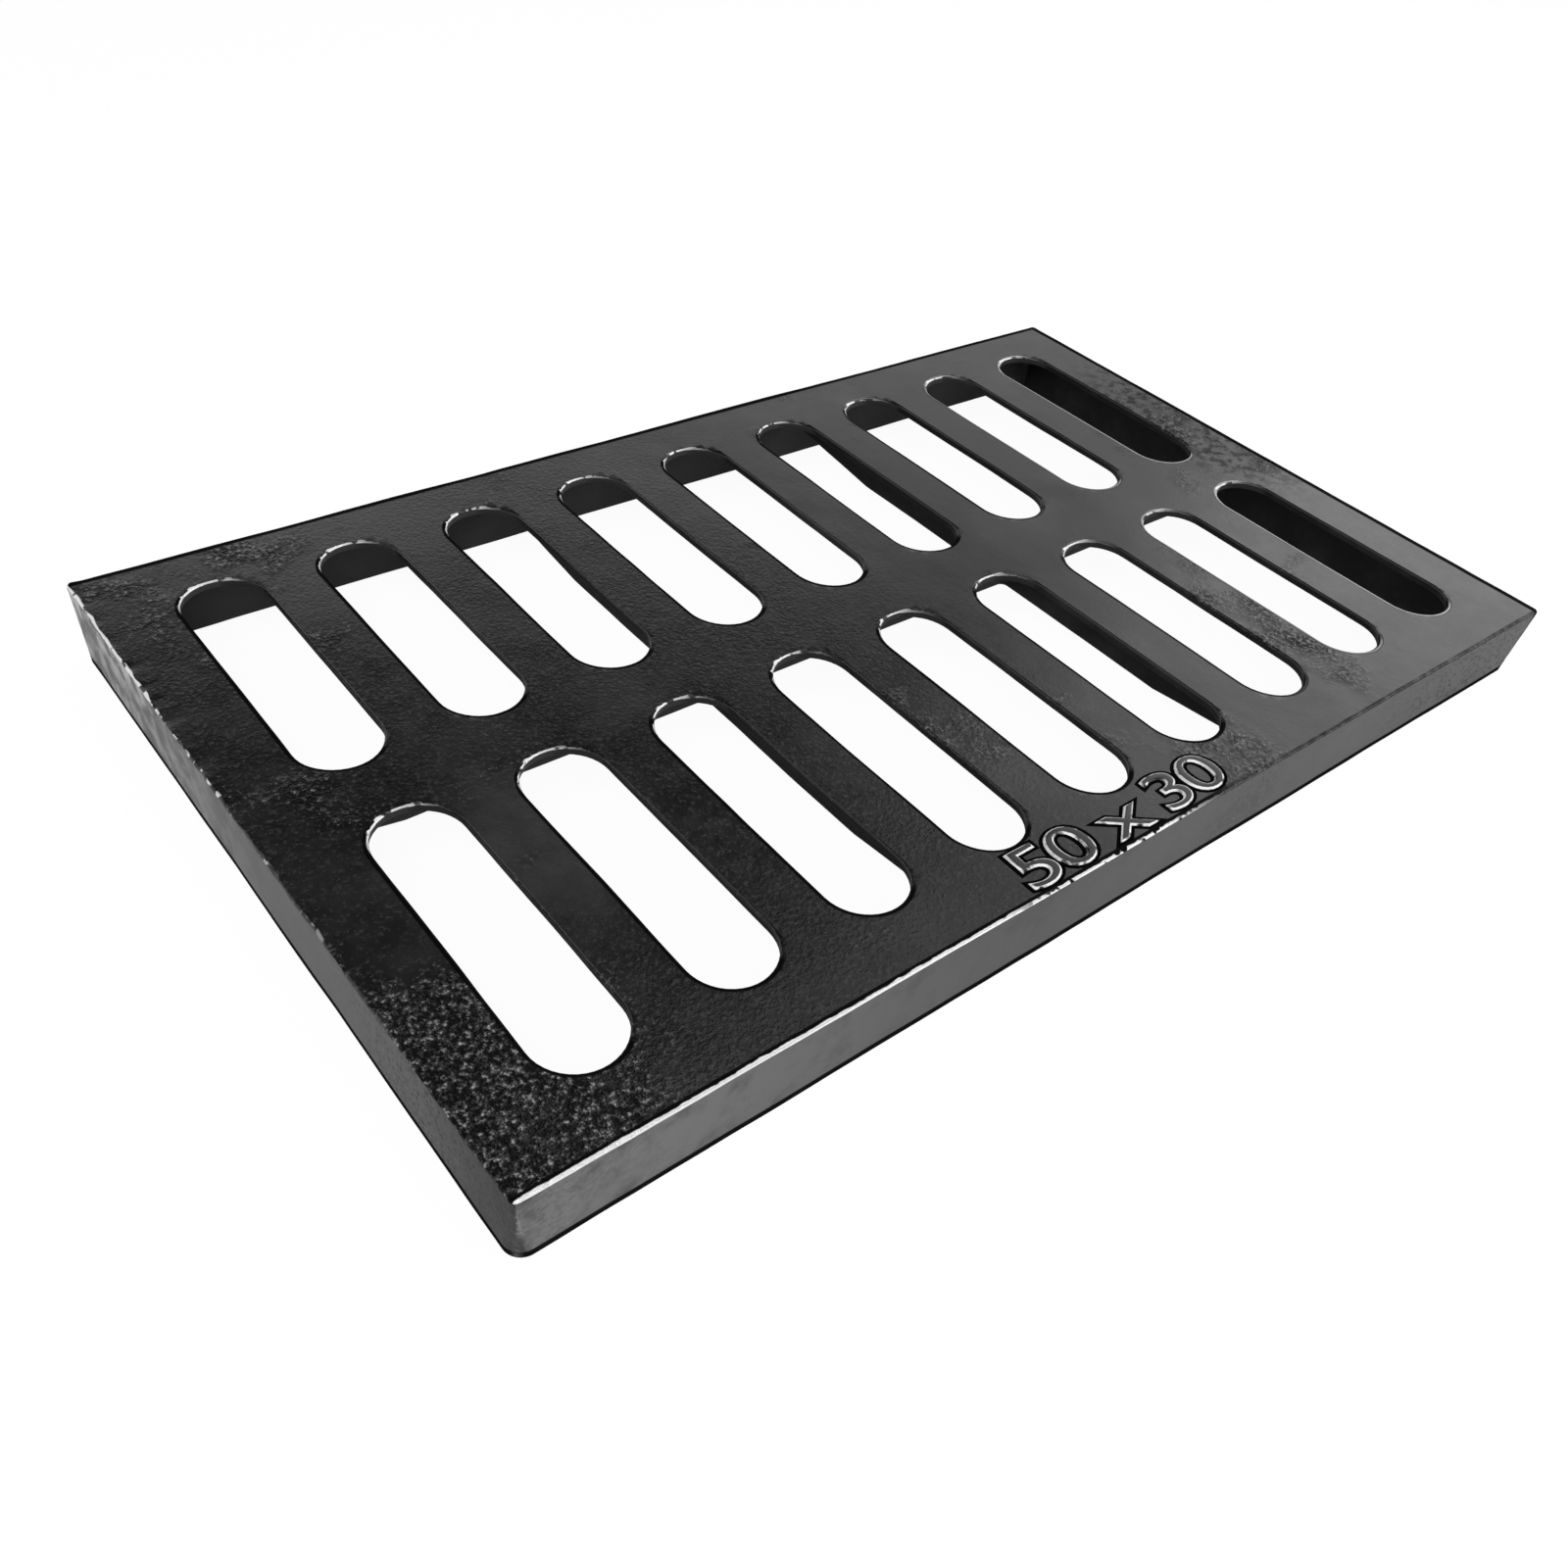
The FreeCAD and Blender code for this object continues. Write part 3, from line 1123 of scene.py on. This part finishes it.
@dataclass(frozen=True)
class Studio:
    """White floor, pale surroundings and soft lamps."""

    floor_size: float = 6.0
    floor_colour: float = 0.85
    floor_glow: float = 1.03
    shadow_share: float = 0.08
    mirrored_share: float = 0.35
    sky_low: float = 0.90
    sky_high: float = 0.03
    sky_turns: Span = (0.52, 0.58)
    lamps: tuple[SoftBox, ...] = (
        SoftBox("right_softbox", azimuth=4.0, elevation=57.0, distance=1.6,
                width=1.28, height=2.5, radiance=1.08),
        SoftBox("front_strip", azimuth=-42.0, elevation=19.0, distance=1.6,
                width=1.2, height=0.35, radiance=3.0),
        SoftBox("camera_softbox", azimuth=-140.0, elevation=48.0, distance=1.8,
                width=1.4, height=1.0, radiance=4.0),
    )

    def _floor_finish(self) -> bpy.types.Material:
        """Makes a floor that is white to the eye and clear from below.

        Returns:
            The material, on which the grate throws a faint shadow.
        """
        material = bpy.data.materials.new("floor")
        material.use_nodes = True
        s = Shader(material.node_tree)
        camera = s.node("ShaderNodeLightPath", output="Is Camera Ray")
        glossy = s.node("ShaderNodeLightPath", output="Is Glossy Ray")
        through = s.node("ShaderNodeLightPath", output="Is Transmission Ray")
        seen = largest(camera, through, glossy * self.mirrored_share)
        pale = s.node("ShaderNodeBsdfDiffuse", values={"Color": grey(self.floor_colour)})
        glow = s.node("ShaderNodeEmission", values={"Strength": self.floor_glow})
        white = s.node("ShaderNodeMixShader", values={0: self.shadow_share, 1: glow, 2: pale})
        shown = s.node("ShaderNodeMixShader", values={0: seen, 1: pale, 2: white})
        clear = s.node("ShaderNodeBsdfTransparent")
        below = s.node("ShaderNodeNewGeometry", output="Backfacing")
        both = s.node("ShaderNodeMixShader", values={0: below, 1: shown, 2: clear})
        s.node("ShaderNodeOutputMaterial", values={"Surface": both})
        return material

    def _floor(self) -> None:
        """Lays the floor."""
        work = bmesh.new()
        bmesh.ops.create_grid(work, x_segments=1, y_segments=1, size=self.floor_size / 2)
        mesh = bpy.data.meshes.new("floor")
        work.to_mesh(mesh)
        work.free()
        mesh.materials.append(self._floor_finish())
        floor = bpy.data.objects.new("floor", mesh)
        bpy.context.scene.collection.objects.link(floor)

    def _world(self) -> None:
        """Surroundings that are white to the eye, and to the metal darker overhead."""
        world = bpy.data.worlds.new("studio")
        bpy.context.scene.world = world
        world.use_nodes = True
        s = Shader(world.node_tree)
        _, _, up = s.parts(s.node("ShaderNodeTexCoord", output="Generated"))
        level = up.step(self.sky_turns) * (self.sky_high - self.sky_low) + self.sky_low
        camera = s.node("ShaderNodeLightPath", output="Is Camera Ray")
        sky = s.node("ShaderNodeBackground", values={
            "Color": grey(1.0), "Strength": level + camera * (1.0 - level)})
        s.node("ShaderNodeOutputWorld", values={"Surface": sky})

    def build(self) -> None:
        """Builds the floor, the surroundings and the lamps."""
        self._floor()
        self._world()
        for lamp in self.lamps:
            lamp.place()
        bpy.context.scene.view_settings.view_transform = "Standard"


@dataclass(frozen=True)
class Camera:
    """The photograph's own viewpoint, with its sensor and lens in millimetres."""

    place: Vector = Vector((-0.3463, -0.3154, 0.3406))
    forward: Vector = Vector((0.53013, 0.53163, -0.66056))
    right: Vector = Vector((0.77218, -0.62452, 0.11709))
    sensor: float = 36.0
    lens: float = 32.917

    def build(self) -> None:
        """Sets the camera up."""
        forward = self.forward.normalized()
        right = (self.right - forward * self.right.dot(forward)).normalized()
        up = right.cross(forward)
        data = bpy.data.cameras.new("camera")
        data.sensor_width = self.sensor
        data.lens = self.lens
        camera = bpy.data.objects.new("camera", data)
        turn = Matrix((right, up, -forward)).transposed().to_4x4()
        camera.matrix_world = Matrix.Translation(self.place) @ turn
        bpy.context.scene.collection.objects.link(camera)
        bpy.context.scene.camera = camera


def main() -> None:
    """Builds the scene, and reports each piece."""
    logging.basicConfig(level=logging.INFO, format="%(message)s")
    noise.seed_set(NOISE_SEED)
    Camera().build()
    Studio().build()
    casting = Casting()
    # Painted shade: a flat black outline round the number's strokes
    shade_outline = RaisedNumber("number_shade_outline", stroke=1.3 * MM, proud=0.12 * MM, rounding=0.05 * MM)
    number = RaisedNumber("raised_number", stroke=0.30 * MM, proud=0.8 * MM, rounding=0.78 * MM)
    pieces = (
        casting.build(OUTER_SKIN.material(), INNER_SKIN.material()),
        shade_outline.build(NUMBER_SHADE_SKIN.material()),
        number.build(NUMBER_SKIN.material()),
    )
    for piece in pieces:
        logging.info("%s: %d faces", piece.name, len(piece.data.polygons))


if __name__ == "__main__":
    main()
